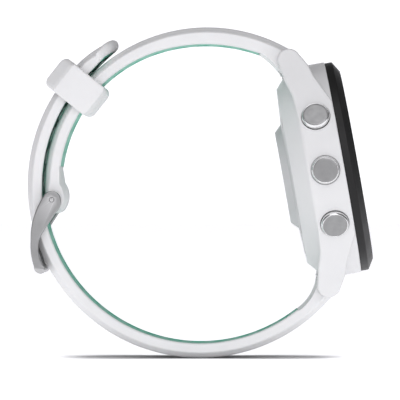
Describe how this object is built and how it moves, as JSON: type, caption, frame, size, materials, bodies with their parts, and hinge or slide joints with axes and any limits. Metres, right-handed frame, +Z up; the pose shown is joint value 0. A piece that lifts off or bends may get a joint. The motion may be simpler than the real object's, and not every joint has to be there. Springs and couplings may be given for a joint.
{
  "type": "gps running watch",
  "caption": "Round sports watch with side buttons, optical sensor bump and two-tone silicone band, buckled and standing on the band.",
  "frame": {"origin": "on the ground, under the middle of the buckled watch, where its band stands", "axes": "+X from the buckle to the display, +Y to the three o'clock side, +Z up, towards twelve o'clock"},
  "size_m": [0.068, 0.0431, 0.0651],
  "materials": {
    "white_shell": "satin white polymer",
    "grey_shell": "satin light grey polymer",
    "black_polymer": "fine matte black polymer",
    "seal_rubber": "matte",
    "lens_glass": "polished",
    "display_black": "gloss",
    "flex_film": "satin film",
    "inner_polymer": "matte",
    "board_green": "solder mask",
    "chip_black": "matte",
    "stamped_steel": "stamped",
    "battery_foil": "foil",
    "contact_gold": "plated",
    "sensor_glass": "polished dark",
    "button_metal": "satin face, polished rim",
    "strap_silicone": "soft satin white",
    "liner_silicone": "soft satin green",
    "buckle_steel": "bead blasted"
  },
  "bodies": {
    "case": {"case": "white_shell", "bezel": "black_polymer", "bezel_gasket": "seal_rubber", "lens_gasket": "seal_rubber", "lens": "lens_glass", "display_panel": "display_black", "display_flex": "flex_film", "inner_frame": "inner_polymer", "main_board": "board_green", "board_chips": "chip_black", "shield_can": "stamped_steel", "battery": "battery_foil", "antenna_ring": "stamped_steel", "vibration_motor": "stamped_steel", "buzzer": "contact_gold", "sensor_window": "sensor_glass", "sensor_board": "board_green", "sensor_diodes": "chip_black", "back_cover": "grey_shell", "back_gasket": "seal_rubber", "back_screws": "stamped_steel", "charge_port": "inner_polymer", "charge_contacts": "contact_gold", "button_sleeves": "stamped_steel", "button_seals": "seal_rubber", "tact_switches": "stamped_steel", "light_spring": "stamped_steel", "up_spring": "stamped_steel", "down_spring": "stamped_steel", "start_spring": "stamped_steel", "back_spring": "stamped_steel", "strap_lower": "strap_silicone", "strap_lower_liner": "liner_silicone", "lower_bar_tube": "stamped_steel", "lower_bar_spring": "stamped_steel"},
    "band": {"strap_upper": "strap_silicone", "strap_upper_liner": "liner_silicone", "buckle_pin": "buckle_steel", "upper_bar_tube": "stamped_steel", "upper_bar_spring": "stamped_steel"},
    "buckle_frame": {"buckle_frame": "buckle_steel"},
    "buckle_tongue": {"buckle_tongue": "buckle_steel"},
    "keeper": {"keeper": "strap_silicone"},
    "upper_lever": {"upper_bar_lever": "stamped_steel"},
    "lower_lever": {"lower_bar_lever": "stamped_steel"},
    "light_button": {"light_button": "button_metal", "light_clip": "stamped_steel"},
    "up_button": {"up_button": "button_metal", "up_clip": "stamped_steel"},
    "down_button": {"down_button": "button_metal", "down_clip": "stamped_steel"},
    "start_button": {"start_button": "button_metal", "start_clip": "stamped_steel"},
    "back_button": {"back_button": "button_metal", "back_clip": "stamped_steel"}
  },
  "joints": [
    {"name": "band_flex", "type": "hinge", "parent": "case", "child": "band", "pos_m": [0.0172, 0, 0.05882], "axis": [0, 1, 0], "range_deg": [-3, 3], "stiffness_Nm_per_rad": 1.2, "deforming": ["strap_lower", "strap_lower_liner"]},
    {"name": "frame_hinge", "type": "hinge", "parent": "band", "child": "buckle_frame", "pos_m": [-0.0291, 0, 0.03115], "axis": [0, 1, 0], "range_deg": [0, 6]},
    {"name": "tongue_hinge", "type": "hinge", "parent": "buckle_frame", "child": "buckle_tongue", "pos_m": [-0.0291, 0, 0.03115], "axis": [0, 1, 0], "range_deg": [0, 8]},
    {"name": "keeper_slide", "type": "hinge", "parent": "band", "child": "keeper", "pos_m": [-0.0001, 0, 0.03395], "axis": [0, -1, 0], "range_deg": [-9, 22]},
    {"name": "light_press", "type": "slide", "parent": "case", "child": "light_button", "axis": [0.0877, 0.866, -0.4923], "range_m": [0, 0.0005], "stiffness_N_per_m": 800, "springref_m": -0.0008, "deforming": ["light_spring"]},
    {"name": "up_press", "type": "slide", "parent": "case", "child": "up_button", "axis": [0, 1, 0], "range_m": [0, 0.0005], "stiffness_N_per_m": 800, "springref_m": -0.0008, "deforming": ["up_spring"]},
    {"name": "down_press", "type": "slide", "parent": "case", "child": "down_button", "axis": [-0.0877, 0.866, 0.4923], "range_m": [0, 0.0005], "stiffness_N_per_m": 800, "springref_m": -0.0008, "deforming": ["down_spring"]},
    {"name": "start_press", "type": "slide", "parent": "case", "child": "start_button", "axis": [0.0877, -0.866, -0.4923], "range_m": [0, 0.0005], "stiffness_N_per_m": 800, "springref_m": -0.0008, "deforming": ["start_spring"]},
    {"name": "back_press", "type": "slide", "parent": "case", "child": "back_button", "axis": [-0.0877, -0.866, 0.4923], "range_m": [0, 0.0005], "stiffness_N_per_m": 800, "springref_m": -0.0008, "deforming": ["back_spring"]},
    {"name": "upper_release", "type": "slide", "parent": "band", "child": "upper_lever", "axis": [0, 1, 0], "range_m": [0, 0.0012], "stiffness_N_per_m": 500, "springref_m": -0.0008, "deforming": ["upper_bar_spring"]},
    {"name": "lower_release", "type": "slide", "parent": "case", "child": "lower_lever", "axis": [0, 1, 0], "range_m": [0, 0.0012], "stiffness_N_per_m": 500, "springref_m": -0.0008, "deforming": ["lower_bar_spring"]}
  ]
}
